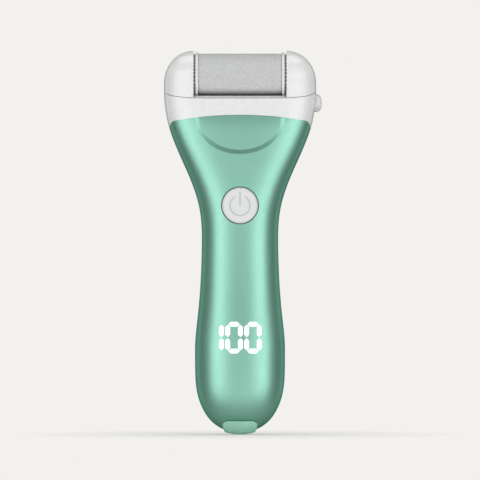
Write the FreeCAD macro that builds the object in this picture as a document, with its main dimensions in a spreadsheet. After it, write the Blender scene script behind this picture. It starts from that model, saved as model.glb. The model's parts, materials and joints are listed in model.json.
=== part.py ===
import FreeCAD, Part
"""Electric callus remover: a cordless handle with a motor-driven abrasive roller in a pop-off head.

Frame: millimetres. +Z runs up the handle towards the roller, the front (button and display) faces -Y,
X runs across, along the roller. The origin is on the charging port's axis, at the object's lowest plane.
"""
import math
import os
import re

import Sketcher
from FreeCAD import Placement, Rotation, Vector

SIZES = [
    # outer form of the handle and head
    ("shell_bottom", 1.0), ("bulge_height", 28.0), ("waist_height", 83.0), ("shoulder_height", 128.0),
    ("head_height", 151.0), ("crown_height", 14.0), ("crown_flat", 20.0), ("crown_fullness", 0.8),
    ("bulge_half_width", 19.3), ("waist_half_width", 16.4), ("head_half_width", 32.7),
    ("bulge_front", 16.5), ("waist_front", 13.3), ("shoulder_front", 14.3), ("lip_front", 11.6),
    ("bulge_back", 15.5), ("waist_back", 13.2), ("head_back", 19.2),
    ("handle_squareness", 2.3), ("head_squareness", 3.8), ("shell_wall", 2.0), ("parting_front", 4.0),
    # green panel edge, seam between collar and head, thumb scoop
    ("panel_half_width", 30.2), ("panel_side_height", 134.95), ("panel_top_height", 137.3),
    ("panel_corner", 3.0), ("seam_lip_height", 144.3), ("seam_tilt", 17.5), ("seam_gap", 0.25),
    ("scoop_height", 139.8), ("scoop_radius", 19.4), ("scoop_floor_radius", 17.5),
    ("scoop_stretch", 1.19), ("scoop_depth", 1.0),
    # roller
    ("axis_height", 153.5), ("sleeve_radius", 10.25), ("sleeve_half", 18.1), ("sleeve_wall", 0.85),
    ("core_wall", 1.2), ("flange_radius", 10.9), ("flange_width", 1.05), ("spigot_length", 5.0),
    ("cap_boss_radius", 4.0), ("cap_boss_width", 2.15), ("rim_teeth", 38), ("rim_width", 2.05),
    ("rim_showing", 0.85), ("rim_recess_radius", 10.6),
    ("shaft_radius", 1.5), ("shaft_gap", 0.05), ("bushing_radius", 3.2),
    ("bay_gap", 0.7), ("bay_wall", 1.5), ("ear_gap", 0.2), ("window_top", 160.5),
    # gear train, all on the left
    ("gear_module", 0.5), ("pressure_angle", 25.0), ("backlash", 0.08), ("gear_width", 1.8),
    ("gear_clear", 0.3), ("idler_teeth", 30), ("pinion_teeth", 12),
    ("idler_pin_radius", 1.2),
    # motor and its bracket
    ("motor_radius", 9.0), ("motor_length", 28.0), ("motor_wall", 0.8), ("motor_cap_length", 2.5),
    ("motor_cap_step", 0.2), ("motor_cap_taper", 1.0), ("armature_inset", 2.4),
    ("magnet_wall", 1.4), ("magnet_angle", 120.0), ("armature_radius", 6.2), ("motor_shaft_radius", 1.0),
    ("plate_thickness", 1.25), ("plate_front", 7.5), ("plate_foot_rise", 1.0), ("web_foot", 126.0),
    ("web_height", 12.0),
    ("spring_plate_foot", 130.0), ("spring_plate_head", 145.5), ("web_thickness", 1.5), ("screw_radius", 0.9),
    ("screw_head_radius", 1.6), ("motor_screw_spread", 5.5),
    # head release
    ("release_height", 142.5), ("release_offset", 3.0), ("release_radius", 3.8), ("release_reach", 35.3),
    ("release_gap", 0.25), ("flange_start", 27.2), ("flange_thickness", 1.2),
    ("flange_margin", 1.0), ("spring_radius", 2.4), ("spring_wire", 0.5), ("spring_depth", 5.0),
    ("wedge_tip", 19.5), ("wedge_foot", 134.0), ("wedge_rise", 4.0), ("wedge_width", 4.0),
    ("ejector_start", 9.5), ("ejector_back", 9.0), ("ejector_thickness", 1.2),
    ("tongue_width", 2.0), ("fit_gap", 0.1), ("dome_rise", 2.0), ("dome_shoulder", 0.9), ("dome_round", 0.6),
    ("dome_crest", 0.25), ("dome_crest_round", 1.8), ("pocket_gap", 0.2), ("link_gap", 0.6),
    # power button and switch
    ("button_height", 98.4), ("button_radius", 7.7), ("button_gap", 0.4), ("button_proud", 0.8),
    ("button_thickness", 4.1), ("button_bevel", 0.6), ("tab_reach", 9.0),
    ("tab_width", 5.0), ("tab_thickness", 0.8), ("symbol_radius", 4.3), ("symbol_stroke", 0.55),
    ("symbol_bar", 6.0), ("symbol_proud", 0.12), ("switch_side", 6.0), ("switch_thickness", 2.4),
    ("plunger_radius", 1.6), ("plunger_depth", 1.2), ("plunger_floor", 0.5), ("symbol_drop", 0.2),
    # display
    ("display_height", 41.8), ("display_shift", 1.5), ("digit_height", 13.5), ("digit_width", 7.4),
    ("digit_gap", 0.7), ("segment_stroke", 2.0), ("segment_gap", 0.3), ("guide_thickness", 1.4),
    ("guide_margin", 0.8), ("guide_front", 11.0),
    # board, battery
    ("board_front", 7.0), ("board_thickness", 1.2), ("board_half_width", 10.4), ("board_bottom", 30.0),
    ("board_top", 106.0), ("cell_radius", 7.0), ("cell_length", 50.0), ("cell_offset", 3.0),
    ("cell_bottom", 14.3), ("tab_sheet", 0.3), ("cell_gap", 0.3), ("tab_half_width", 2.5), ("tab_back", 4.0),
    ("holder_wall", 1.5), ("holder_half_height", 6.0),
    ("rail_width", 1.3), ("rail_half_height", 3.0), ("chip_thickness", 1.0), ("driver_side", 5.0),
    ("driver_across", -3.5), ("driver_up", 74.5), ("regulator_side", 4.0), ("regulator_across", 4.0),
    ("regulator_up", 86.0),
    # charging socket and its cover
    ("socket_half_width", 4.5), ("socket_half_depth", 1.6), ("socket_wall", 0.3), ("socket_length", 7.3),
    ("socket_mouth", 3.3), ("port_margin", 0.3), ("charger_board", 1.0), ("charger_half_width", 6.0),
    ("charger_height", 7.6), ("charger_bottom", 4.6), ("cover_half_width", 7.7), ("cover_top", 5.9),
    ("cover_corner", 2.5), ("cover_foot_half_width", 6.6), ("cover_taper_start", 10.0),
    ("cover_taper_end", 3.5), ("cover_proud", 0.9), ("cover_sink", 1.2), ("cover_gap", 0.2),
    ("cover_pivot", 6.5), ("fold_run", 1.3), ("fold_height", 3.1), ("strap_end", 10.0), ("strap_gap", 0.3),
    ("plug_half_width", 3.6),
    ("plug_half_depth", 0.8), ("plug_height", 3.9), ("socket_back", 1.0), ("contact_half_width", 3.2),
    ("contact_half_depth", 0.35), ("contact_setback", 1.8), ("contact_back", 0.5),
    # shell screws
    ("screw_low_height", 24.0), ("screw_low_spread", 13.0), ("screw_high_height", 110.2),
    ("boss_radius", 3.4), ("post_radius", 2.4), ("shell_screw_radius", 1.0), ("shell_head_radius", 2.6),
    ("shell_head_height", 2.0), ("shell_seat", 6.5), ("post_start", 4.1), ("recess_length", 2.0),
    ("recess_width", 0.6), ("recess_depth", 1.0),
]

doc = FreeCAD.newDocument("callus_remover")
sheet = doc.addObject("Spreadsheet::Sheet", "Sizes")
for row, (alias, number) in enumerate(SIZES, start=1):
    sheet.set(f"A{row}", alias)
    sheet.set(f"B{row}", str(number))
    sheet.setAlias(f"B{row}", alias)
doc.recompute()
size = {alias: float(sheet.get(alias)) for alias, _ in SIZES}

FAR = 100.0
NEAR = 0.01
SCOOP_RUN = 4
CAP_BEVEL = 0.35
SPRING_TURNS = 6
FLANK_STEPS = 6
ADDENDUM = 0.9
DEDENDUM = 1.25
END_ANGLES = (86, 72, 57, 42, 27, 13)
CROWN_ANGLES = (15, 30, 45, 60, 72, 80, 85.5)
SECTION_POINTS = 28
CROWN_TIP = 0.05
WORD = re.compile(r"[a-z_]+[a-z]")
X_AXIS = Vector(1, 0, 0)
Y_AXIS = Vector(0, 1, 0)
ALONG_X = Rotation(Y_AXIS, 90)
ALONG_Y = Rotation(X_AXIS, -90)
parts = []


# ---- helpers for bound primitives and features ------------------------------------------------------
def bound(text):
    """The expression with every sheet alias written in full."""
    return WORD.sub(lambda word: "Sizes." + word.group(0) if word.group(0) in size else word.group(0), text)


def bind(item, **expressions):
    for name, text in expressions.items():
        item.setExpression(name.replace("__", "."), bound(text))
    return item


def place(item, x="0", y="0", z="0"):
    return bind(item, Placement__Base__x=x, Placement__Base__y=y, Placement__Base__z=z)


def block(name, x, y, z):
    """A box from pairs of expressions (low, high) along each axis."""
    item = doc.addObject("Part::Box", name)
    bind(item, Length=f"({x[1]}) - ({x[0]})", Width=f"({y[1]}) - ({y[0]})", Height=f"({z[1]}) - ({z[0]})")
    return place(item, x[0], y[0], z[0])


def rod(name, turn, radius, start, end, across, up):
    """A cylinder along X or Y; across is its place along the other horizontal axis."""
    item = doc.addObject("Part::Cylinder", name)
    item.Placement = Placement(Vector(), turn)
    bind(item, Radius=radius, Height=f"({end}) - ({start})")
    if turn is ALONG_X:
        return place(item, start, across, up)
    return place(item, across, start, up)


def boolean(kind, name, base, tool):
    item = doc.addObject(kind, name)
    item.Base = base
    item.Tool = tool
    return item


def cut(name, base, *tools):
    for number, tool in enumerate(tools, start=1):
        last = number == len(tools)
        base = boolean("Part::Cut", name if last else f"{name}_less_{number}", base, tool)
    return base


def fuse(name, base, *tools):
    for number, tool in enumerate(tools, start=1):
        last = number == len(tools)
        base = boolean("Part::Fuse", name if last else f"{name}_with_{number}", base, tool)
    return base


def solid(name, shape):
    """A feature whose shape is worked out in code from the sheet's sizes."""
    item = doc.addObject("Part::Feature", name)
    item.Shape = shape
    return item


def part(item):
    item.Label = item.Name
    parts.append(item)
    return item


def plane_of(body, role):
    return next(item for item in body.Origin.OriginFeatures if item.Role == role)


def outline_sketch(body, role, points):
    """A closed sketch of straight lines whose corners are bound to pairs of expressions."""
    sketch = body.newObject("Sketcher::SketchObject", body.Name + "_sketch")
    sketch.AttachmentSupport = [(plane_of(body, role), "")]
    sketch.MapMode = "FlatFace"
    corners = [Vector(number(x), number(y), 0) for x, y in points]
    for corner, following in zip(corners, corners[1:] + corners[:1]):
        sketch.addGeometry(Part.LineSegment(corner, following), False)
    for index in range(len(corners)):
        sketch.addConstraint(Sketcher.Constraint("Coincident", index, 2, (index + 1) % len(corners), 1))
    for index, (x, y) in enumerate(points):
        for kind, text, value in (("DistanceX", x, corners[index].x), ("DistanceY", y, corners[index].y)):
            constraint = sketch.addConstraint(Sketcher.Constraint(kind, index, 1, value))
            sketch.setExpression(f"Constraints[{constraint}]", bound(text))
    return sketch


def number(text):
    return float(sheet.evalExpression(bound(text)))


def turned(name, points):
    """A body turned about its X axis from an outline of (x, radius) pairs."""
    body = doc.addObject("PartDesign::Body", name)
    sketch = outline_sketch(body, "XY_Plane", points)
    turn = body.newObject("PartDesign::Revolution", name + "_turned")
    turn.Profile = sketch
    turn.ReferenceAxis = (sketch, ["H_Axis"])
    turn.Angle = 360
    body.Tip = turn
    return body


def padded(name, role, points, length):
    """A body padded, evenly both ways, from an outline on one of its origin planes."""
    body = doc.addObject("PartDesign::Body", name)
    sketch = outline_sketch(body, role, points)
    pad = body.newObject("PartDesign::Pad", name + "_pad")
    pad.Profile = sketch
    pad.Midplane = True
    bind(pad, Length=length)
    body.Tip = pad
    return body


# ---- the outer form ---------------------------------------------------------------------------------
def ease(low, high, share):
    """A smooth step from low to high, level at both ends."""
    share = min(max(share, 0.0), 1.0)
    return low + (high - low) * share ** 3 * (share * (share * 6 - 15) + 10)


def along(height, *stations):
    """Follow (height, value) stations with smooth steps."""
    for (start, low), (end, high) in zip(stations, stations[1:]):
        if height <= end:
            return ease(low, high, (height - start) / (end - start))
    return stations[-1][1]


def section_at(height, inset):
    """The cross-section's half width, middle, half depth and squareness at one height."""
    bulge, waist = size["bulge_height"], size["waist_height"]
    shoulder, head = size["shoulder_height"], size["head_height"]
    half = along(height, (bulge, size["bulge_half_width"]), (waist, size["waist_half_width"]),
                 (head, size["head_half_width"]))
    front = along(height, (bulge, size["bulge_front"]), (waist, size["waist_front"]),
                  (shoulder, size["shoulder_front"]), (head, size["lip_front"]))
    back = along(height, (bulge, size["bulge_back"]), (waist, size["waist_back"]), (head, size["head_back"]))
    square = along(height, (waist, size["handle_squareness"]), (head, size["head_squareness"]))
    return half - inset, (back - front) / 2, (back + front) / 2 - inset, square


def ring(height, half_width, middle, half_depth, square):
    """A closed smooth superellipse wire."""
    points = []
    for step in range(SECTION_POINTS):
        angle = 2 * math.pi * step / SECTION_POINTS
        cosine, sine = math.cos(angle), math.sin(angle)
        reach = (abs(cosine) ** square + abs(sine) ** square) ** (-1 / square)
        points.append(Vector(half_width * reach * cosine, middle + half_depth * reach * sine, height))
    curve = Part.BSplineCurve()
    curve.interpolate(Points=points, PeriodicFlag=True, Parameters=list(range(SECTION_POINTS + 1)))
    return Part.Wire(curve.toShape())


def crown_front(height, inset):
    """How much of the lip's depth is left at a height, on a circle about the roller's axis."""
    rise = max(height - size["axis_height"], 0)
    top = size["head_height"] + size["crown_height"] - inset - size["axis_height"] + CROWN_TIP
    return math.sqrt(1 - (rise / top) ** 2)


def form(inset):
    """The whole closed outer form, or the same form set in by a wall."""
    rings = []
    half, middle, depth, square = section_at(size["bulge_height"], inset)
    drop = size["bulge_height"] - size["shell_bottom"] - inset
    for degrees in END_ANGLES:
        angle = math.radians(degrees)
        share = math.cos(angle) ** (2 / square)
        rings.append(ring(size["bulge_height"] - drop * math.sin(angle) ** (2 / square),
                          half * share, middle, depth * share, square))
    bulge, waist = size["bulge_height"], size["waist_height"]
    shoulder, head = size["shoulder_height"], size["head_height"]
    spans = ((bulge, waist, 3), (waist, shoulder, 4), (shoulder, head, 3))
    for start, end, steps in spans:
        for step in range(steps):
            height = start + (end - start) * step / steps
            rings.append(ring(height, *section_at(height, inset)))
    half, middle, depth, square = section_at(head, inset)
    rings.append(ring(head, half, middle, depth, square))
    for degrees in CROWN_ANGLES:
        angle = math.radians(degrees)
        height = head + (size["crown_height"] - inset) * math.sin(angle)
        width = size["crown_flat"] + (half - size["crown_flat"]) * math.cos(angle)
        front = (depth - middle) * crown_front(height, inset)
        back = (depth + middle) * math.cos(angle) ** size["crown_fullness"]
        rings.append(ring(height, width, (back - front) / 2, (back + front) / 2, square))
    return Part.makeLoft(rings, True, False)


def bulk(x, y, z):
    """A plain box shape from (low, high) pairs."""
    return Part.makeBox(x[1] - x[0], y[1] - y[0], z[1] - z[0], Vector(x[0], y[0], z[0]))


def disc(radius, start, end, height, across=0.0, direction=X_AXIS):
    """A plain cylinder shape along X, or along Y when asked."""
    foot = Vector(start, across, height) if direction is X_AXIS else Vector(across, start, height)
    return Part.makeCylinder(radius, end - start, foot, direction)


def above_seam(shift):
    """Everything above the tilted seam between collar and head, moved up by a shift."""
    lump = bulk((-FAR, FAR), (-FAR, FAR), (0, FAR))
    lump.rotate(Vector(), X_AXIS, size["seam_tilt"])
    lump.translate(Vector(0, -size["lip_front"], size["seam_lip_height"] + shift))
    return lump


def panel_side():
    """Everything below the curved upper edge of the coloured shells."""
    half, side, corner = size["panel_half_width"], size["panel_side_height"], size["panel_corner"]
    spring = side - corner
    turn = corner * math.sqrt(0.5)
    low_left, low_right = Vector(-FAR, -FAR, -FAR), Vector(FAR, -FAR, -FAR)
    edge = [Vector(x, -FAR, z) for x, z in (
        (-FAR, spring), (-half, spring), (-half + corner - turn, spring + turn), (-half + corner, side),
        (0, size["panel_top_height"]), (half - corner, side), (half - corner + turn, spring + turn),
        (half, spring), (FAR, spring))]
    lines = [Part.makeLine(low_left, edge[0]), Part.makeLine(edge[0], edge[1]),
             Part.Arc(edge[1], edge[2], edge[3]).toShape(), Part.Arc(edge[3], edge[4], edge[5]).toShape(),
             Part.Arc(edge[5], edge[6], edge[7]).toShape(), Part.makeLine(edge[7], edge[8]),
             Part.makeLine(edge[8], low_right), Part.makeLine(low_right, low_left)]
    return Part.Face(Part.Wire(lines)).extrude(Vector(0, 2 * FAR, 0))


OUTER = form(0)
INNER = form(size["shell_wall"])
SKIN = OUTER.cut(INNER)
FRONT_SIDE = bulk((-FAR, FAR), (-FAR, -size["parting_front"]), (-FAR, 2 * FAR))
PANEL_SIDE = panel_side()
BELOW_SEAM = OUTER.cut(above_seam(0))

GUIDE_FACE = -size["guide_front"]
SCREW_PLACES = ((-size["screw_low_spread"], size["screw_low_height"]),
                (size["screw_low_spread"], size["screw_low_height"]), (0.0, size["screw_high_height"]))


# ---- display ----------------------------------------------------------------------------------------
# A digit's bars as (column, row, upright): column -1 left, 0 middle, 1 right; row -1 low, 0 mid, 1 high.
ZERO_BARS = ((0, -2, False), (0, 2, False), (-1, -1, True), (-1, 1, True), (1, -1, True), (1, 1, True))
ONE_BARS = ((0, -1, True), (0, 1, True))


def bar_outline(middle_x, middle_z, length, upright):
    """A six-sided display bar, pointed at both ends."""
    half, tip = size["segment_stroke"] / 2, length / 2 - size["segment_gap"]
    points = [(-tip, 0), (-tip + half, half), (tip - half, half), (tip, 0), (tip - half, -half),
              (-tip + half, -half)]
    if upright:
        points = [(across, up) for up, across in points]
    corners = [Vector(middle_x + across, -FAR, middle_z + up) for across, up in points]
    return Part.Face(Part.makePolygon(corners + corners[:1])).extrude(Vector(0, FAR + GUIDE_FACE, 0))


def digit_bars(middle_x, bars):
    reach_x = (size["digit_width"] - size["segment_stroke"]) / 2
    reach_z = (size["digit_height"] - size["segment_stroke"]) / 2
    shapes = []
    for column, row_number, upright in bars:
        length = reach_z if upright else 2 * reach_x
        shapes.append(bar_outline(middle_x + column * reach_x,
                                  size["display_height"] + row_number * reach_z / 2, length, upright))
    return shapes


def display_bars():
    """The lit number 100, as bars that reach through the front shell."""
    pitch = size["digit_width"] + size["digit_gap"]
    first = size["display_shift"] - pitch / 2
    one = first - size["digit_width"] / 2 - size["digit_gap"] - size["segment_stroke"] / 2
    bars = digit_bars(one, ONE_BARS) + digit_bars(first, ZERO_BARS) + digit_bars(first + pitch, ZERO_BARS)
    return Part.makeCompound(bars).common(OUTER)


def make_display():
    bars = display_bars()
    half = size["display_shift"] + size["digit_width"] + size["digit_gap"] / 2 + size["guide_margin"]
    low = size["display_height"] - size["digit_height"] / 2 - size["guide_margin"]
    high = size["display_height"] + size["digit_height"] / 2 + size["guide_margin"]
    backing = bulk((-half, half), (GUIDE_FACE, GUIDE_FACE + size["guide_thickness"]), (low, high))
    part(solid("display_light_guide", backing.fuse(bars.Solids)))
    depth = (GUIDE_FACE + size["guide_thickness"], -size["board_front"])
    part(solid("display_module", bulk((-half, half), depth, (low, high))))
    return bars


# ---- port cover -------------------------------------------------------------------------------------
def cover_outline(grow):
    """The space behind the cover's outline as seen from the front, with round upper corners."""
    half, top, corner = size["cover_half_width"], size["cover_top"], size["cover_corner"]
    turn = corner * (1 - math.sqrt(0.5))
    points = [Vector(x, -FAR, z) for x, z in (
        (-half, -FAR), (-half, top - corner), (-half + turn, top - turn), (-half + corner, top),
        (half - corner, top), (half - turn, top - turn), (half, top - corner), (half, -FAR))]
    lines = [Part.makeLine(points[0], points[1]), Part.Arc(points[1], points[2], points[3]).toShape(),
             Part.makeLine(points[3], points[4]), Part.Arc(points[4], points[5], points[6]).toShape(),
             Part.makeLine(points[6], points[7]), Part.makeLine(points[7], points[0])]
    return grown(Part.Face(Part.Wire(lines)), grow).extrude(Vector(0, 2 * FAR, 0))


def cover_plan(back, grow):
    """The space above the cover's outline as seen from below, narrower under the handle's foot."""
    wide, narrow = size["cover_half_width"], size["cover_foot_half_width"]
    start, end = -size["cover_taper_start"], -size["cover_taper_end"]
    corners = [Vector(x, y, -FAR) for x, y in (
        (-wide, -FAR), (-wide, start), (-narrow, end), (-narrow, back), (narrow, back), (narrow, end),
        (wide, start), (wide, -FAR))]
    face = Part.Face(Part.makePolygon(corners + corners[:1]))
    return grown(face, grow).extrude(Vector(0, 0, 2 * FAR))


def grown(face, grow):
    return face.makeOffset2D(grow) if grow else face


def cover_prism(back, grow):
    return cover_outline(grow).common(cover_plan(back, grow))


def cover_back():
    return size["cover_pivot"] - size["strap_gap"]


def cover_zone(grow):
    return cover_prism(cover_back(), grow)


def strap_zone(start):
    """The space of the fixed strap behind the cover's fold."""
    return cover_prism(size["strap_end"], 0).cut(bulk((-FAR, FAR), (-2 * FAR, start), (-FAR, FAR)))


def make_port_cover():
    proud = form(-size["cover_proud"])
    sunk = form(size["cover_sink"])
    patch = proud.cut(sunk)
    wide, deep = size["plug_half_width"], size["plug_half_depth"]
    plug = bulk((-wide, wide), (-deep, deep), (size["shell_bottom"], size["plug_height"]))
    floor_cut = bulk((-FAR, FAR), (-FAR, FAR), (-FAR, 0))
    fold = bulk((-FAR, FAR), (cover_back() - size["fold_run"], FAR), (size["fold_height"], FAR))
    part(solid("port_cover", patch.common(cover_zone(0)).fuse(plug).cut([floor_cut, fold])))
    part(solid("port_cover_strap", patch.common(strap_zone(size["cover_pivot"])).cut(floor_cut)))


def port_recess():
    """What the cover, its strap and the plug's way in take out of the shells."""
    seat = OUTER.cut(form(size["cover_sink"] + size["cover_gap"]))
    wide = size["socket_half_width"] + size["port_margin"]
    deep = size["socket_half_depth"] + size["port_margin"]
    way = bulk((-wide, wide), (-deep, deep), (-FAR, size["socket_mouth"] + size["shell_wall"]))
    strap_seat = OUTER.cut(form(size["cover_sink"])).common(strap_zone(cover_back()))
    return [seat.common(cover_zone(size["cover_gap"])), strap_seat, way]


# ---- shells and collar ------------------------------------------------------------------------------
def scoop():
    """The shallow thumb scoop: a cone stretched sideways that cuts a little way into the front."""
    depth, rim = size["scoop_depth"], size["scoop_radius"]
    bevel = rim - size["scoop_floor_radius"]
    cone = Part.makeCone(rim + bevel, rim - SCOOP_RUN * bevel, (1 + SCOOP_RUN) * depth,
                         Vector(0, -size["shoulder_front"] - depth, size["scoop_height"]), Y_AXIS)
    stretch = FreeCAD.Matrix()
    stretch.scale(size["scoop_stretch"], 1, 1)
    return cone.transformGeometry(stretch).common(OUTER.cut(form(depth)))


def shell_blank():
    return BELOW_SEAM.common(PANEL_SIDE)


def make_shells(bars):
    recess = port_recess()
    window = disc(size["button_radius"] + size["button_gap"], -FAR, 0, size["button_height"],
                  direction=Y_AXIS)
    front = SKIN.common(shell_blank()).common(FRONT_SIDE)
    rear = SKIN.common(shell_blank()).cut(FRONT_SIDE)
    posts, bosses, holes, wells = screw_bosses()
    front = front.fuse(posts).cut(holes).cut([scoop(), window] + bars.Solids + recess)
    rear = rear.fuse(bosses).cut(holes + wells + recess)
    part(solid("front_shell", front.removeSplitter()))
    part(solid("rear_shell", rear.removeSplitter()))


def screw_bosses():
    """Posts in the front shell, bosses in the rear one, and the screws' holes and head wells."""
    posts, bosses, holes, wells = [], [], [], []
    skin_core = form(size["shell_wall"] / 2)
    for x, z in SCREW_PLACES:
        posts.append(disc(size["post_radius"], -FAR, -size["post_start"], z, x, Y_AXIS).common(skin_core))
        boss = disc(size["boss_radius"], -size["parting_front"] + size["fit_gap"], FAR, z, x, Y_AXIS)
        bosses.append(boss.common(skin_core))
        holes.append(disc(size["shell_screw_radius"], -size["post_start"] - size["shell_seat"],
                          size["shell_seat"], z, x, Y_AXIS))
        wells.append(disc(size["shell_head_radius"], size["shell_seat"], FAR, z, x, Y_AXIS))
    return posts, bosses, holes, wells


def make_shell_screws():
    screws = []
    for x, z in SCREW_PLACES:
        shank = disc(size["shell_screw_radius"], -size["post_start"] - size["shell_seat"], size["shell_seat"],
                     z, x, Y_AXIS)
        head = disc(size["shell_head_radius"] - size["fit_gap"], size["shell_seat"],
                    size["shell_seat"] + size["shell_head_height"], z, x, Y_AXIS)
        long, short = size["recess_length"] / 2, size["recess_width"] / 2
        sunk = (size["shell_seat"] + size["shell_head_height"] - size["recess_depth"], FAR)
        level = bulk((x - long, x + long), sunk, (z - short, z + short))
        upright = bulk((x - short, x + short), sunk, (z - long, z + long))
        screws.append(shank.fuse(head).cut([level, upright]))
    part(solid("shell_screws", Part.makeCompound(screws)))


def make_collar():
    """The two white halves between the coloured shells and the head's seam."""
    ring_shape = SKIN.common(BELOW_SEAM).cut(PANEL_SIDE)
    hole = disc(size["release_radius"] + size["release_gap"], 0, FAR, size["release_height"],
                size["release_offset"])
    part(solid("collar_front", ring_shape.common(FRONT_SIDE).cut(hole)))
    part(solid("collar_rear", ring_shape.cut(FRONT_SIDE).cut(hole)))


# ---- head: cover with two ears and the roller's bay --------------------------------------------------
def ear_edge():
    """Half the width of the window between the ears."""
    return size["sleeve_half"] + size["flange_width"] + size["rim_showing"]


def ear_inside():
    """The floor of the recess in an ear's wall that the toothed rim turns in."""
    return size["sleeve_half"] + size["flange_width"] + size["cap_boss_width"] + size["ear_gap"]


def ear_outside():
    return ear_inside() + size["bay_wall"]


def make_head_cover():
    axis, edge, near, far = size["axis_height"], ear_edge(), ear_inside(), ear_outside()
    bay = size["flange_radius"] + size["bay_gap"]
    shell = bay + size["bay_wall"]
    upper = OUTER.common(above_seam(size["seam_gap"]))
    drum_room = disc(shell, -far, far, axis).common(form(size["shell_wall"] + 2 * size["seam_gap"]))
    ears = INNER.cut(bulk((-far, far), (-FAR, FAR), (0, 2 * FAR)))
    behind = INNER.common(bulk((-edge, edge), (0, FAR), (0, 2 * FAR))).cut(disc(shell, -edge, edge, axis))
    front = bulk((-edge, edge), (-FAR, 0), (0, 2 * FAR)).common(above_seam(size["seam_gap"]))
    top = bulk((-edge, edge), (-FAR, FAR), (size["window_top"], 2 * FAR))
    idler_room = disc(gear_tip("idler_teeth") + size["gear_clear"], -near, gear_start() + size["gear_clear"],
                      idler_height())
    body = upper.fuse(drum_room)
    for hollow in (ears, behind, disc(bay, -edge, edge, axis), front, top, idler_room,
                   disc(size["rim_recess_radius"], -near, near, axis),
                   disc(size["bushing_radius"], -far, far, axis)):
        body = body.cut(hollow)
    part(solid("head_cover", body))


def make_roller():
    lift = dict(z="axis_height")
    core_radius = "sleeve_radius - sleeve_wall"
    bore = f"({core_radius}) - core_wall"
    place(part(turned("roller_core", [("-sleeve_half", bore), ("sleeve_half", bore),
                                      ("sleeve_half", core_radius), ("-sleeve_half", core_radius)])), **lift)
    place(part(turned("abrasive_sleeve", [("-sleeve_half", core_radius), ("sleeve_half", core_radius),
                                          ("sleeve_half", "sleeve_radius"),
                                          ("-sleeve_half", "sleeve_radius")])), **lift)
    for side, sign in (("left", "-1"), ("right", "1")):
        make_cap(side, sign, bore)
    part(rod("roller_shaft", ALONG_X, "shaft_radius", f"-{ear_end()}", ear_end(), "0", "axis_height"))


def ear_end():
    """The outer face of an ear's wall, as an expression."""
    return "(sleeve_half + flange_width + cap_boss_width + ear_gap + bay_wall)"


def gear_end():
    """How far left the gears' outer face lies, as an expression."""
    return "(sleeve_half + flange_width + rim_width)"


def plate_face():
    """How far left the motor's face lies, on the inner side of the bracket's left plate."""
    return f"({gear_end()} - gear_width - gear_clear - plate_thickness)"


def shaft_left():
    return f"-{gear_end()} - gear_clear"


def make_cap(side, sign, bore):
    """An end cap: a spigot in the core, a round flange, a toothed rim and a thrust boss."""
    start = f"{sign} * (sleeve_half - spigot_length)"
    flange = f"{sign} * sleeve_half"
    face = f"{sign} * (sleeve_half + flange_width)"
    boss = f"{sign} * (sleeve_half + flange_width + cap_boss_width)"
    bevel = f"{sign} * (sleeve_half + flange_width - {CAP_BEVEL})"
    disc_body = turned(f"cap_{side}_disc", [
        (start, "shaft_radius"), (start, bore), (flange, bore), (flange, "flange_radius"),
        (bevel, "flange_radius"), (face, f"flange_radius - {CAP_BEVEL}"), (face, "cap_boss_radius"),
        (boss, "cap_boss_radius"), (boss, "shaft_radius")])
    place(disc_body, z="axis_height")
    inner = size["sleeve_half"] + size["flange_width"]
    outer = inner + size["rim_width"]
    low, high = (inner, outer) if side == "right" else (-outer, -inner)
    rim = gear(int(size["rim_teeth"]), low, high, size["axis_height"], size["cap_boss_radius"], -math.pi / 2)
    part(fuse(f"roller_cap_{side}", disc_body, solid(f"cap_{side}_rim", rim)))


def make_bushings():
    shapes = []
    for low, high in ((-ear_outside(), -ear_inside()), (ear_inside(), ear_outside())):
        ring_shape = disc(size["bushing_radius"], low, high, size["axis_height"])
        shapes.append(ring_shape.cut(disc(size["shaft_radius"] + size["shaft_gap"], low, high,
                                          size["axis_height"])))
    part(solid("roller_bushings", Part.makeCompound(shapes)))


# ---- gears ------------------------------------------------------------------------------------------
def involute(angle):
    return math.tan(angle) - angle


def gear(teeth, low, high, height, bore, phase):
    """A spur gear along X; phase is the angle of one tooth's middle, from +Y towards +Z."""
    pitch = size["gear_module"] * teeth / 2
    press = math.radians(size["pressure_angle"])
    base = pitch * math.cos(press)
    tip = pitch + ADDENDUM * size["gear_module"]
    root = pitch - DEDENDUM * size["gear_module"]
    thick = math.pi / (2 * teeth) - size["backlash"] / (2 * pitch) + involute(press)
    start = max(base, root)
    flank = [(root, thick)] if root < base else []
    for step in range(FLANK_STEPS + 1):
        radius = start + (tip - start) * step / FLANK_STEPS
        flank.append((radius, thick - involute(math.acos(base / radius))))
    tooth = [(radius, -turn) for radius, turn in flank] + [(radius, turn) for radius, turn in reversed(flank)]
    points = []
    for index in range(teeth):
        middle = phase + 2 * math.pi * index / teeth
        for radius, turn in tooth:
            angle = middle + turn
            points.append(Vector(low, radius * math.cos(angle), height + radius * math.sin(angle)))
    blank = Part.Face(Part.makePolygon(points + points[:1])).extrude(Vector(high - low, 0, 0))
    return blank.cut(disc(bore, low, high, height))


def gear_distance(first, second):
    return size["gear_module"] * (size[first] + size[second]) / 2


def gear_tip(teeth):
    return size["gear_module"] * (size[teeth] / 2 + ADDENDUM)


def gear_start():
    """The inner face of the idler and the pinion."""
    return size["gear_width"] - size["sleeve_half"] - size["flange_width"] - size["rim_width"]


def idler_height():
    return size["axis_height"] - gear_distance("rim_teeth", "idler_teeth")


def motor_height():
    return idler_height() - gear_distance("idler_teeth", "pinion_teeth")


MOTOR_UP = "(axis_height - gear_module * (rim_teeth + 2 * idler_teeth + pinion_teeth) / 2)"
IDLER_UP = "(axis_height - gear_module * (rim_teeth + idler_teeth) / 2)"


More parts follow.
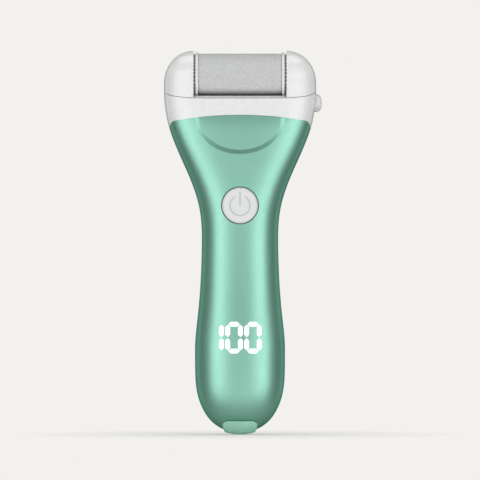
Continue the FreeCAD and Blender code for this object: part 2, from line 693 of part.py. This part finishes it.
def make_gears():
    """The idler and the motor's pinion, in mesh below the roller's toothed left rim."""
    near, far = gear_start(), gear_start() - size["gear_width"]
    half_pitch = math.pi / size["idler_teeth"]
    part(solid("idler_gear", gear(int(size["idler_teeth"]), far, near, idler_height(),
                                  size["idler_pin_radius"] + size["shaft_gap"], math.pi / 2 + half_pitch)))
    part(solid("motor_pinion", gear(int(size["pinion_teeth"]), far, near, motor_height(),
                                    size["motor_shaft_radius"], math.pi / 2)))
    part(rod("idler_axle", ALONG_X, "idler_pin_radius", shaft_left(), f"-{plate_face()}", "0", IDLER_UP))


# ---- motor ------------------------------------------------------------------------------------------
def make_motor():
    face = f"-{plate_face()}"
    end = f"({face}) + motor_length"
    hollow = "(motor_radius - motor_wall)"
    place(part(turned("motor_can", [(face, "motor_shaft_radius + shaft_gap"), (face, "motor_radius"),
                                    (end, "motor_radius"), (end, hollow), (f"({face}) + motor_wall", hollow),
                                    (f"({face}) + motor_wall", "motor_shaft_radius + shaft_gap")])),
          z=MOTOR_UP)
    cap_end = f"({end}) + motor_cap_length"
    place(part(turned("motor_end_cap", [(end, "motor_shaft_radius + shaft_gap"),
                                        (end, "motor_radius - motor_cap_step"),
                                        (cap_end, "motor_radius - motor_cap_taper"),
                                        (cap_end, "motor_shaft_radius + shaft_gap")])), z=MOTOR_UP)
    start = f"({face}) + armature_inset"
    stop = f"({end}) - armature_inset"
    place(part(turned("motor_armature", [(start, "motor_shaft_radius"), (start, "armature_radius"),
                                         (stop, "armature_radius"), (stop, "motor_shaft_radius")])),
          z=MOTOR_UP)
    part(rod("motor_shaft", ALONG_X, "motor_shaft_radius", shaft_left(), cap_end, "0", MOTOR_UP))
    make_magnets()


def motor_face():
    return gear_start() + size["gear_clear"] + size["plate_thickness"]


def make_magnets():
    outer = size["motor_radius"] - size["motor_wall"]
    start = motor_face() + size["armature_inset"]
    stop = motor_face() + size["motor_length"] - size["armature_inset"]
    shapes = []
    for first in (-size["magnet_angle"] / 2, 180 - size["magnet_angle"] / 2):
        tube = Part.makeCylinder(outer, stop - start, Vector(), Vector(0, 0, 1), size["magnet_angle"])
        tube = tube.cut(Part.makeCylinder(outer - size["magnet_wall"], stop - start))
        tube.rotate(Vector(), Vector(0, 0, 1), first)
        tube.rotate(Vector(), Y_AXIS, 90)
        tube.translate(Vector(start, 0, motor_height()))
        shapes.append(tube)
    part(solid("motor_magnets", Part.makeCompound(shapes)))


def make_bracket():
    """The metal bracket: a plate each side of the head's bay and a web behind the motor."""
    web_back = "motor_radius + gear_clear + web_thickness"
    outer, inner = f"-{plate_face()} - plate_thickness", f"-{plate_face()}"
    seat_face, seat_back = f"{ear_end()} + gear_clear", f"{ear_end()} + gear_clear + plate_thickness"
    depth = ("-plate_front", web_back)
    left = block("plate_left", (outer, inner), depth,
                 (f"{MOTOR_UP} - motor_radius + plate_foot_rise", f"{bay_bottom()} - gear_clear"))
    right = block("plate_right", (seat_face, seat_back), depth, ("spring_plate_foot", "spring_plate_head"))
    web = block("bracket_web", (outer, seat_back), ("motor_radius + gear_clear", web_back),
                ("web_foot", "web_foot + web_height"))
    bore = rod("shaft_way", ALONG_X, "motor_shaft_radius + gear_clear", outer, inner, "0", MOTOR_UP)
    seat = rod("idler_seat", ALONG_X, "idler_pin_radius", outer, inner, "0", IDLER_UP)
    way = block("wedge_way", (seat_face, seat_back),
                ("release_offset - wedge_width / 2 - gear_clear",
                 "release_offset + wedge_width / 2 + gear_clear"),
                ("wedge_foot - gear_clear", "wedge_foot + wedge_rise + gear_clear"))
    slot = block("tongue_way", (seat_face, seat_back),
                 (f"{tongue_low()} - fit_gap", f"{tongue_high()} + fit_gap"),
                 ("wedge_foot - fit_gap", "spring_plate_head + plate_thickness"))
    spread = (("low", "-motor_screw_spread"), ("high", "motor_screw_spread"))
    screws = [rod(f"screw_way_{name}", ALONG_X, "screw_radius", outer, inner, across, MOTOR_UP)
              for name, across in spread]
    wells = [rod(f"screw_well_{name}", ALONG_X, "screw_head_radius", outer, f"{outer} + plate_thickness / 2",
                 across, MOTOR_UP) for name, across in spread]
    frame = fuse("bracket_blank", left, right, web)
    part(cut("motor_bracket", frame, bore, seat, way, slot, *screws, *wells))


def make_motor_screws():
    face = motor_face()
    shapes = []
    for side in (-1, 1):
        across = side * size["motor_screw_spread"]
        shank = disc(size["screw_radius"], face - size["plate_thickness"] / 2, face, motor_height(), across)
        head = disc(size["screw_head_radius"], face - size["plate_thickness"],
                    face - size["plate_thickness"] / 2, motor_height(), across)
        shapes.append(shank.fuse(head))
    part(solid("motor_screws", Part.makeCompound(shapes)))


# ---- head release -----------------------------------------------------------------------------------
def tongue_low():
    return "(-plate_front + tongue_width)"


def tongue_high():
    return "(-plate_front + 2 * tongue_width)"


def bay_bottom():
    return "(axis_height - flange_radius - bay_gap - bay_wall)"


def make_ejector():
    """The plate under the head's bay, with a sloped foot and a guide tongue."""
    top = f"{bay_bottom()} - fit_gap"
    low = f"{bay_bottom()} - fit_gap - ejector_thickness"
    plate = block("ejector_deck", ("ejector_start", ear_end()), (tongue_low(), "ejector_back"), (low, top))
    foot = padded("ejector_foot", "XZ_Plane", [
        ("wedge_tip", "wedge_foot + 2 * fit_gap"),
        (ear_end(), f"wedge_foot + 2 * fit_gap + {ear_end()} - wedge_tip"), (ear_end(), low),
        ("wedge_tip", low)], "wedge_width")
    place(foot, y="release_offset")
    tongue = block("ejector_tongue", (ear_end(), f"{ear_end()} + gear_clear + plate_thickness"),
                   (tongue_low(), tongue_high()), ("wedge_foot", top))
    part(fuse("ejector_plate", plate, foot, tongue))


def make_release_button():
    """The side button: a domed stem, an inner flange, a spring pocket and the wedge bar."""
    stem_start = "flange_start + flange_thickness"
    stem = turned("release_stem", [
        ("flange_start", "spring_radius + pocket_gap"),
        ("flange_start", "release_radius + flange_margin"),
        (stem_start, "release_radius + flange_margin"), (stem_start, "release_radius"),
        ("release_reach - dome_rise", "release_radius"),
        ("release_reach - dome_shoulder", "release_radius - dome_round"),
        ("release_reach - dome_crest", "release_radius - dome_crest_round"), ("release_reach", "0"),
        ("flange_start + spring_depth", "0"), ("flange_start + spring_depth", "spring_radius + pocket_gap")])
    place(stem, y="release_offset", z="release_height")
    bar = padded("release_bar", "XZ_Plane", [
        ("wedge_tip", "wedge_foot"), ("wedge_tip + wedge_rise", "wedge_foot + wedge_rise"),
        (stem_start, "wedge_foot + wedge_rise"), (stem_start, "wedge_foot")], "wedge_width")
    place(bar, y="release_offset")
    link = block("release_link", ("flange_start", stem_start),
                 ("release_offset - wedge_width / 2", "release_offset + wedge_width / 2"),
                 ("wedge_foot", "release_height - spring_radius - link_gap"))
    part(fuse("release_button", stem, bar, link))


def make_release_spring():
    """A compression spring between the bracket's right plate and the button's pocket."""
    start = ear_outside() + size["gear_clear"] + size["plate_thickness"]
    end = size["flange_start"] + size["spring_depth"]
    wire = size["spring_wire"]
    middle = size["spring_radius"] - wire / 2
    helix = Part.makeHelix((end - start - wire) / SPRING_TURNS, end - start - wire, middle)
    profile = Part.Wire(Part.makeCircle(wire / 2, Vector(middle, 0, 0), Y_AXIS))
    coil = Part.Wire(helix).makePipeShell([profile], True, True)
    coil.rotate(Vector(), Y_AXIS, 90)
    coil.translate(Vector(start + wire / 2, size["release_offset"], size["release_height"]))
    part(solid("release_spring", coil))


# ---- power button -----------------------------------------------------------------------------------
def button_face():
    """How far in front of the handle's middle plane the button's face stands."""
    _, middle, depth, _ = section_at(size["button_height"], 0)
    return depth - middle + size["button_proud"]


def make_power_button():
    face, height, radius = -button_face(), size["button_height"], size["button_radius"]
    back = face + size["button_thickness"]
    cap = disc(radius, face, back, height, direction=Y_AXIS)
    rim = [edge for edge in cap.Edges if abs(edge.CenterOfMass.y - face) < NEAR]
    cap = cap.makeChamfer(size["button_bevel"], rim)
    tabs = bulk((-size["tab_width"] / 2, size["tab_width"] / 2), (back - size["tab_thickness"], back),
                (height - size["tab_reach"], height + size["tab_reach"]))
    symbol = power_symbol(face)
    part(solid("power_button", cap.fuse(tabs).cut(symbol)))
    part(solid("power_symbol", symbol))
    switch_face = -size["board_front"] - size["switch_thickness"]
    part(solid("switch_plunger", disc(size["plunger_radius"], back, switch_face + size["plunger_depth"],
                                      height, direction=Y_AXIS)))
    side = size["switch_side"] / 2
    base = bulk((-side, side), (switch_face, -size["board_front"]), (height - side, height + side))
    well = disc(size["plunger_radius"] + size["shaft_gap"], switch_face,
                -size["board_front"] - size["plunger_floor"], height, direction=Y_AXIS)
    part(solid("tact_switch", base.cut(well)))


def power_symbol(face):
    """The generic on-off mark: a broken ring with an upright bar in its gap."""
    height, stroke = size["button_height"], size["symbol_stroke"] / 2
    start, end = face - size["symbol_proud"], face + size["symbol_stroke"]
    ring_shape = disc(size["symbol_radius"] + stroke, start, end, height, direction=Y_AXIS)
    ring_shape = ring_shape.cut(disc(size["symbol_radius"] - stroke, start, end, height, direction=Y_AXIS))
    gap = bulk((-size["symbol_radius"] / 2, size["symbol_radius"] / 2), (start, end), (height, height + FAR))
    low = height - size["symbol_drop"]
    bar = bulk((-stroke, stroke), (start, end), (low, low + size["symbol_bar"]))
    return Part.makeCompound([ring_shape.cut(gap), bar])


# ---- board, battery and charging socket -------------------------------------------------------------
def make_board():
    part(block("main_board", ("-board_half_width", "board_half_width"),
               ("-board_front", "-board_front + board_thickness"), ("board_bottom", "board_top")))
    part(fuse("board_chips", chip("driver"), chip("regulator")))


def chip(name):
    """A square chip on the back of the board."""
    half = f"{name}_side / 2"
    back = "-board_front + board_thickness"
    return block(f"chip_{name}", (f"{name}_across - {half}", f"{name}_across + {half}"),
                 (back, f"{back} + chip_thickness"), (f"{name}_up - {half}", f"{name}_up + {half}"))


def make_battery():
    cell = doc.addObject("Part::Cylinder", "battery_cell")
    bind(cell, Radius="cell_radius", Height="cell_length")
    part(place(cell, y="cell_offset", z="cell_bottom"))
    tabs, plates = [], []
    top = "cell_bottom + cell_length"
    ends = (("low", "cell_bottom - tab_sheet", "cell_bottom"), ("high", top, top + " + tab_sheet"))
    for name, low, high in ends:
        tabs.append(block(f"tab_{name}", ("-tab_half_width", "tab_half_width"),
                          ("-board_front + board_thickness", "cell_offset + tab_back"), (low, high)))
    part(fuse("battery_tabs_pair", *tabs))
    half = "(cell_radius + rail_width + cell_gap)"
    spans = (("foot", "cell_bottom - tab_sheet - holder_wall", "cell_bottom - tab_sheet"),
             ("top", top + " + tab_sheet", top + " + tab_sheet + holder_wall"))
    for name, low, high in spans:
        plates.append(block(f"holder_{name}", (f"-{half}", half),
                            ("cell_offset - holder_half_height", "cell_offset + holder_half_height"),
                            (low, high)))
    rails = [block(f"holder_rail_{name}", (low, high),
                   ("cell_offset - rail_half_height", "cell_offset + rail_half_height"),
                   ("cell_bottom - tab_sheet", top + " + tab_sheet"))
             for name, low, high in (("left", f"-{half}", "-cell_radius - cell_gap"),
                                     ("right", "cell_radius + cell_gap", half))]
    part(fuse("battery_holder", *plates, *rails))


def make_socket():
    body = block("socket_body", ("-socket_half_width", "socket_half_width"),
                 ("-socket_half_depth", "socket_half_depth"),
                 ("socket_mouth", "socket_mouth + socket_length"))
    hollow = block("socket_hollow", ("-socket_half_width + socket_wall", "socket_half_width - socket_wall"),
                   ("-socket_half_depth + socket_wall", "socket_half_depth - socket_wall"),
                   ("socket_mouth - socket_back", "socket_mouth + socket_length - socket_back"))
    tongue = block("socket_tongue", ("-contact_half_width", "contact_half_width"),
                   ("-contact_half_depth", "contact_half_depth"),
                   ("socket_mouth + contact_setback", "socket_mouth + socket_length - contact_back"))
    part(fuse("charging_socket", cut("socket_case", body, hollow), tongue))
    part(block("charging_board", ("-charger_half_width", "charger_half_width"),
               ("socket_half_depth", "socket_half_depth + charger_board"),
               ("charger_bottom", "charger_bottom + charger_height")))


# ---- build and write --------------------------------------------------------------------------------
display = make_display()
make_port_cover()
make_shells(display)
make_shell_screws()
make_collar()
make_head_cover()
make_roller()
make_bushings()
make_gears()
make_motor()
make_bracket()
make_motor_screws()
make_ejector()
make_release_button()
make_release_spring()
make_power_button()
make_board()
make_battery()
make_socket()
doc.recompute()

for item in doc.Objects:
    if "Invalid" in item.State or "Error" in item.State:
        raise RuntimeError(f"{item.Label} failed: {item.State}")
os.makedirs("parts", exist_ok=True)
for item in parts:
    shape = item.Shape
    if shape.isNull() or not shape.isValid() or not shape.Solids:
        raise RuntimeError(f"{item.Label} has no valid solid")
for item in parts:
    item.Shape.exportStep(f"parts/{item.Label}.step")
    print(f"{item.Label}: {len(item.Shape.Solids)} solid(s), {item.Shape.Volume:.1f} mm3")
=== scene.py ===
"""Electric callus remover: looks, floor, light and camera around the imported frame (metres)."""

import json
import math

import bpy
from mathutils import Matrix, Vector


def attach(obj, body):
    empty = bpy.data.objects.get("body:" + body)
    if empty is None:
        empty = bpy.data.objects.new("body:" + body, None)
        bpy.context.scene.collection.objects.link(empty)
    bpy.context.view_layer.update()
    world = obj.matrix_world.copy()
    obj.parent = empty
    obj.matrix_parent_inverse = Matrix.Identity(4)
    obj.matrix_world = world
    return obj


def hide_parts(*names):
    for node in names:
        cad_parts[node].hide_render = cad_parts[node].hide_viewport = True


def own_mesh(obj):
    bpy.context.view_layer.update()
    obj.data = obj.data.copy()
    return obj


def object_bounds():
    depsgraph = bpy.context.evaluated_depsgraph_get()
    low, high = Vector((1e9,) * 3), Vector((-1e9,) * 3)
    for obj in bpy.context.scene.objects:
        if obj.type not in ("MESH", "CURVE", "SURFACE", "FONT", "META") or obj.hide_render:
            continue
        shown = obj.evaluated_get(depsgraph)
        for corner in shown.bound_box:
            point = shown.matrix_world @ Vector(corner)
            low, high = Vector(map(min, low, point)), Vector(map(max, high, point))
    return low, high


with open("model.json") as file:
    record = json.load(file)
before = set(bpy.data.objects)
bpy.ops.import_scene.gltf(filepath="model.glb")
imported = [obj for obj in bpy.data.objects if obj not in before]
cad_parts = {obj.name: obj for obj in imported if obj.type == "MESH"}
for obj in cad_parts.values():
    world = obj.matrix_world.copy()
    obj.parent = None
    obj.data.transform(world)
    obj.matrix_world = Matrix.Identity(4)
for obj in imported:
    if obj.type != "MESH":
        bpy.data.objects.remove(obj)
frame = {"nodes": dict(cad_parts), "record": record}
CAD_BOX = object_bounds()
NODES = frame["nodes"]
MM = 0.001

# ---- view -------------------------------------------------------------------------------------------
FRAME_HEIGHT = 0.2064
FRAME_FOOT = 0.0196
VIEW_DISTANCE = 4.0
SENSOR = 0.036

# ---- colours (linear) -------------------------------------------------------------------------------
BACKDROP = (0.896, 0.880, 0.850)
PEARL_LIGHT = (0.275, 0.550, 0.445)
PEARL_FLAKE = (0.420, 0.760, 0.640)
SILICONE = (0.400, 0.740, 0.590)
WHITE = (0.800, 0.800, 0.795)


# ---- material helpers -------------------------------------------------------------------------------
class Surface:
    """A node material with one principled shader and short ways to add detail."""

    def __init__(self, name, color, roughness, metallic=0.0, **settings):
        self.material = bpy.data.materials.new(name)
        self.material.use_nodes = True
        self.nodes = self.material.node_tree.nodes
        self.links = self.material.node_tree.links
        self.shader = self.nodes["Principled BSDF"]
        self.shader.inputs["Base Color"].default_value = (*color, 1)
        self.shader.inputs["Roughness"].default_value = roughness
        self.shader.inputs["Metallic"].default_value = metallic
        for socket, value in settings.items():
            self.shader.inputs[socket.replace("_", " ")].default_value = value
        self.place = self.nodes.new("ShaderNodeTexCoord").outputs["Object"]

    def noise(self, scale, detail=3.0, stretch=None):
        """Cloudy noise fixed to the piece, drawn out along an axis where stretch is small."""
        node = self.nodes.new("ShaderNodeTexNoise")
        node.inputs["Scale"].default_value = scale
        node.inputs["Detail"].default_value = detail
        source = self.place
        if stretch:
            mapping = self.nodes.new("ShaderNodeMapping")
            mapping.inputs["Scale"].default_value = stretch
            self.links.new(source, mapping.inputs["Vector"])
            source = mapping.outputs["Vector"]
        self.links.new(source, node.inputs["Vector"])
        return node.outputs["Fac"]

    def cells(self, scale, output="Distance"):
        """Small random cells: the distance to each cell's middle, or a colour for each."""
        node = self.nodes.new("ShaderNodeTexVoronoi")
        node.inputs["Scale"].default_value = scale
        self.links.new(self.place, node.inputs["Vector"])
        return node.outputs[output]

    def ramp(self, source, low, high, start=0.35, end=0.65):
        """A colour that runs from low to high as the source goes from start to end."""
        node = self.nodes.new("ShaderNodeValToRGB")
        first, last = node.color_ramp.elements
        first.position, last.position = start, end
        first.color, last.color = (*low, 1), (*high, 1)
        self.links.new(source, node.inputs["Fac"])
        return node.outputs["Color"]

    def spread(self, source, low, high, start=0.3, end=0.7):
        """A number that runs from low to high as the source goes from start to end."""
        node = self.nodes.new("ShaderNodeMapRange")
        for socket, value in zip(("From Min", "From Max", "To Min", "To Max"), (start, end, low, high)):
            node.inputs[socket].default_value = value
        self.links.new(source, node.inputs["Value"])
        return node.outputs["Result"]

    def bump(self, source, strength, distance, under=None):
        """Relief from a source, laid over the relief under it where there is one."""
        node = self.nodes.new("ShaderNodeBump")
        node.inputs["Strength"].default_value = strength
        node.inputs["Distance"].default_value = distance
        self.links.new(source, node.inputs["Height"])
        if under:
            self.links.new(under, node.inputs["Normal"])
        return node.outputs["Normal"]

    def painted_crevice_shade(self, reach, shade):
        """Painted shade: a grey that falls to a darker shade in gaps and corners narrower than a reach,
        from an ambient occlusion node.
        """
        node = self.nodes.new("ShaderNodeAmbientOcclusion")
        node.samples = 8
        node.inputs["Distance"].default_value = reach
        return self.ramp(node.outputs["AO"], (shade, shade, shade), (1, 1, 1), 0.15, 0.75)

    def mixer(self, first):
        """A colour mix node with its first colour linked."""
        node = self.nodes.new("ShaderNodeMix")
        node.data_type = "RGBA"
        self.links.new(first, node.inputs["A"])
        return node

    def multiply(self, first, second):
        node = self.mixer(first)
        node.blend_type = "MULTIPLY"
        node.inputs["Factor"].default_value = 1
        self.links.new(second, node.inputs["B"])
        return node.outputs["Result"]

    def fleck(self, base, amount, color):
        """A base colour with another one showing where the amount is high."""
        node = self.mixer(base)
        node.inputs["B"].default_value = (*color, 1)
        self.links.new(amount, node.inputs["Factor"])
        return node.outputs["Result"]

    def feed(self, socket, source):
        self.links.new(source, self.shader.inputs[socket])


def darker(color, share):
    return [part * share for part in color]


# ---- materials --------------------------------------------------------------------------------------
def pearl_green():
    """Metallic mint lacquer: fine flakes under a thin clear coat."""
    paint = Surface("pearl_green", PEARL_LIGHT, 0.40, 0.90,
                    Coat_Weight=0.06, Coat_Roughness=0.32, Specular_Tint=(0.04, 0.42, 0.24, 1))
    tone = paint.ramp(paint.noise(45.0, 2), darker(PEARL_LIGHT, 0.97), PEARL_LIGHT)
    flakes = paint.spread(paint.cells(9000.0), 0.0, 0.35, 0.25, 0.05)
    paint.feed("Base Color", paint.fleck(tone, flakes, PEARL_FLAKE))
    paint.feed("Roughness", paint.spread(paint.noise(900.0, 4), 0.40, 0.48))
    grain = paint.bump(paint.noise(5200.0, 2), 0.10, 0.00003)
    paint.feed("Normal", paint.bump(paint.noise(60.0, 2), 0.02, 0.0006, grain))
    return paint.material


def white_plastic(name="white_plastic", color=WHITE, roughness=0.28):
    """Polished white moulding with a faint orange peel and slightly uneven gloss."""
    plastic = Surface(name, color, roughness, Coat_Weight=0.25, Coat_Roughness=0.12)
    tone = plastic.ramp(plastic.noise(70.0, 4), darker(color, 0.995), color, 0.3, 0.6)
    # The colour is multiplied by painted shade that darkens seams, gaps and corners.
    plastic.feed("Base Color", plastic.multiply(tone, plastic.painted_crevice_shade(0.0015, 0.6)))
    plastic.feed("Roughness", plastic.spread(plastic.noise(350.0, 3), roughness - 0.04, roughness + 0.06))
    plastic.feed("Normal", plastic.bump(plastic.noise(700.0, 2), 0.02, 0.00003))
    return plastic.material


def silicone():
    """Soft matt mint rubber with a fine grain."""
    rubber = Surface("mint_silicone", SILICONE, 0.55, Subsurface_Weight=0.1, Subsurface_Scale=0.003)
    rubber.feed("Base Color", rubber.ramp(rubber.noise(90.0), darker(SILICONE, 0.93), SILICONE))
    rubber.feed("Roughness", rubber.spread(rubber.noise(800.0), 0.48, 0.62))
    rubber.feed("Normal", rubber.bump(rubber.noise(3000.0, 2), 0.15, 0.00004))
    return rubber.material


def grit():
    """Bonded grey mineral grain on the roller."""
    stone = Surface("grit", (0.50, 0.50, 0.505), 0.78, Specular_IOR_Level=0.3)
    grain_scale = 5200.0
    channels = stone.nodes.new("ShaderNodeSeparateColor")
    stone.links.new(stone.cells(grain_scale, "Color"), channels.inputs["Color"])
    tint = stone.ramp(channels.outputs["Red"], (0.44, 0.44, 0.445), (0.66, 0.66, 0.66), 0.0, 1.0)
    # The grain colour is multiplied by painted shade, nearly black, where the roller runs into gaps and
    # corners within 12 mm.
    stone.feed("Base Color", stone.multiply(tint, stone.painted_crevice_shade(0.012, 0.02)))
    stone.feed("Roughness", stone.spread(stone.noise(1800.0), 0.62, 0.9))
    coarse = stone.bump(stone.noise(1600.0, 4), 0.2, 0.00006)
    stone.feed("Normal", stone.bump(stone.cells(grain_scale), 0.45, 0.00008, coarse))
    return stone.material


def glow():
    """The lit display diffuser, a little uneven as a light guide is."""
    lamp = Surface("display_glow", (0.9, 0.97, 0.95), 0.4)
    lamp.shader.inputs["Emission Strength"].default_value = 0.5
    lamp.feed("Emission Color", lamp.ramp(lamp.noise(260.0), (0.90, 1.0, 0.97), (1.0, 1.0, 1.0)))
    lamp.feed("Normal", lamp.bump(lamp.noise(900.0), 0.03, 0.0001))
    return lamp.material


def metal(name, color, roughness, stretch=(1, 1, 1), scale=600.0):
    """Bare metal whose tone and gloss vary in streaks."""
    steel = Surface(name, color, roughness, 1.0)
    streaks = steel.noise(scale, 4, stretch)
    steel.feed("Base Color", steel.ramp(streaks, darker(color, 0.82), color, 0.3, 0.7))
    steel.feed("Roughness", steel.spread(streaks, roughness - 0.06, roughness + 0.12))
    steel.feed("Normal", steel.bump(streaks, 0.08, 0.00005))
    return steel.material


def plain_plastic(name, color, roughness=0.45, scale=1200.0):
    """A moulded, printed or coated surface with a faint grain."""
    plastic = Surface(name, color, roughness)
    plastic.feed("Base Color", plastic.ramp(plastic.noise(150.0), darker(color, 0.85), color))
    plastic.feed("Roughness", plastic.spread(plastic.noise(scale), roughness - 0.08, roughness + 0.12))
    plastic.feed("Normal", plastic.bump(plastic.noise(scale, 2), 0.12, 0.00005))
    return plastic.material


def build_materials():
    return {
        "green_metallic": pearl_green(),
        "white_gloss": white_plastic(),
        "button_grey": white_plastic("button_plastic", (0.72, 0.73, 0.73), 0.34),
        "symbol_grey": plain_plastic("symbol_ink", (0.56, 0.58, 0.58), 0.5),
        "display_glow": glow(),
        "black_plastic": plain_plastic("black_plastic", (0.022, 0.022, 0.024)),
        "circuit_board": plain_plastic("solder_mask", (0.012, 0.110, 0.050), 0.35, 2000.0),
        "bare_steel": metal("bare_steel", (0.58, 0.58, 0.59), 0.3, (0.05, 1, 1)),
        "battery_wrap": plain_plastic("battery_wrap", (0.025, 0.120, 0.380), 0.3),
        "mint_silicone": silicone(),
        "ferrite": plain_plastic("ferrite", (0.045, 0.045, 0.048), 0.6),
        "copper": metal("copper_winding", (0.70, 0.30, 0.15), 0.32, (0.02, 1, 1), 2400.0),
        "brass": metal("brass", (0.72, 0.52, 0.22), 0.3),
        "bronze": metal("bronze", (0.50, 0.33, 0.16), 0.45),
        "white_nylon": white_plastic("white_nylon", (0.80, 0.80, 0.79), 0.42),
        "abrasive": grit(),
    }


def dress_nodes(materials):
    """Give every carried-over piece the material of its slot in the record."""
    for row in frame["record"]["subparts"]:
        mesh = NODES[row["node"]].data
        mesh.materials.clear()
        mesh.materials.append(materials[row["material_slot"]])


def soften(name, width, sharp):
    """Round a piece's sharp edges a little."""
    bevel = NODES[name].modifiers.new("soft_edges", "BEVEL")
    bevel.width = width
    bevel.segments = 3
    bevel.limit_method = "ANGLE"
    bevel.angle_limit = math.radians(sharp)
    bevel.harden_normals = True


def squeeze_spring():
    """A copy of the release spring, with its own mesh, hung on the handle in place of the imported one.
    """
    coil = NODES["release_spring"].copy()
    coil.name = "release_coil"
    coil.data = NODES["release_spring"].data.copy()
    bpy.context.collection.objects.link(coil)
    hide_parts("release_spring")
    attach(coil, "handle")
    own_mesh(coil)


# ---- floor, world, lights, camera -------------------------------------------------------------------
def add_object(name, data):
    thing = bpy.data.objects.new(name, data)
    bpy.context.collection.objects.link(thing)
    return thing


def make_floor():
    """A large pale disc under the object that melts into the backdrop."""
    rings, sides, reach, clearance = 24, 96, 0.2, 0.2 * MM
    vertices, faces = [(0, 0, 0)], []
    for ring in range(1, rings + 1):
        for side in range(sides):
            angle = 2 * math.pi * side / sides
            radius = reach * ring / rings
            vertices.append((radius * math.cos(angle), radius * math.sin(angle), 0))
    for side in range(sides):
        following = (side + 1) % sides
        faces.append((0, 1 + side, 1 + following))
        for ring in range(rings - 1):
            near, far = 1 + ring * sides, 1 + (ring + 1) * sides
            faces.append((near + side, far + side, far + following, near + following))
    mesh = bpy.data.meshes.new("floor")
    mesh.from_pydata(vertices, [], faces)
    floor = add_object("floor", mesh)
    floor.location.z = CAD_BOX[0].z - clearance
    surface = Surface("floor_card", (0.97, 0.96, 0.94), 0.9)
    surface.feed("Normal", surface.bump(surface.noise(400.0), 0.03, 0.0002))
    spot = surface.nodes.new("ShaderNodeVectorMath")
    spot.operation = "LENGTH"
    surface.links.new(surface.place, spot.inputs[0])
    surface.feed("Alpha", surface.spread(spot.outputs["Value"], 0.6, 0.0, 0.01, 0.10))
    mesh.materials.append(surface.material)


def make_world():
    """An even pale backdrop for the camera and a softer studio for the light."""
    world = bpy.data.worlds.new("studio")
    bpy.context.scene.world = world
    world.use_nodes = True
    nodes, links = world.node_tree.nodes, world.node_tree.links
    background = nodes["Background"]
    background.inputs["Color"].default_value = (*BACKDROP, 1)
    fill = nodes.new("ShaderNodeBackground")
    fill.inputs["Color"].default_value = (0.80, 0.84, 0.84, 1)
    fill.inputs["Strength"].default_value = 0.20
    path = nodes.new("ShaderNodeLightPath")
    mix = nodes.new("ShaderNodeMixShader")
    links.new(path.outputs["Is Camera Ray"], mix.inputs["Fac"])
    links.new(fill.outputs["Background"], mix.inputs[1])
    links.new(background.outputs["Background"], mix.inputs[2])
    links.new(mix.outputs["Shader"], nodes["World Output"].inputs["Surface"])


def make_light(name, place, target, width, height, power):
    data = bpy.data.lights.new(name, "AREA")
    data.shape = "RECTANGLE"
    data.size, data.size_y = width, height
    data.energy = power
    light = add_object(name, data)
    light.location = place
    light.rotation_euler = (Vector(target) - Vector(place)).to_track_quat("-Z", "Y").to_euler()


def make_lights():
    """Broad strips off to both sides, cards in front, low and overhead, and two narrow rims behind."""
    middle = (0, 0, 0.083)
    sides = (("left", -1), ("right", 1))
    for side, sign in sides:
        make_light("strip_" + side, (sign * 0.52, -0.56, 0.12), middle, 0.50, 1.0, 3.4)
    make_light("front_card", (0, -1.50, 0.15), middle, 1.4, 0.9, 2.4)
    make_light("top_softbox", (0, 0.05, 0.80), middle, 0.8, 0.4, 2.2)
    make_light("low_card", (0, -0.90, -0.40), middle, 1.0, 0.4, 1.6)
    for side, sign in sides:
        make_light("rim_" + side, (sign * 0.50, 0.42, 0.15), middle, 0.10, 0.8, 0.4)


def plain_colours():
    """Show colours as they are, with no film curve."""
    settings = bpy.context.scene.view_settings
    settings.view_transform = "Standard"
    settings.look = "None"


def make_camera():
    """A long lens straight from the front, so that the view is close to an elevation drawing."""
    data = bpy.data.cameras.new("camera")
    camera = add_object("camera", data)
    data.sensor_width = SENSOR / MM
    data.lens = SENSOR / MM * VIEW_DISTANCE / FRAME_HEIGHT
    data.clip_start, data.clip_end = 0.1, 50.0
    camera.location = (0, -VIEW_DISTANCE, FRAME_HEIGHT / 2 - FRAME_FOOT)
    camera.rotation_euler = (math.pi / 2, 0, 0)
    bpy.context.scene.camera = camera


dress_nodes(build_materials())
soften("front_shell", 0.22 * MM, 20)
soften("collar_front", 0.3 * MM, 30)
soften("power_button", 0.15 * MM, 20)
squeeze_spring()
make_floor()
make_world()
make_lights()
make_camera()
plain_colours()
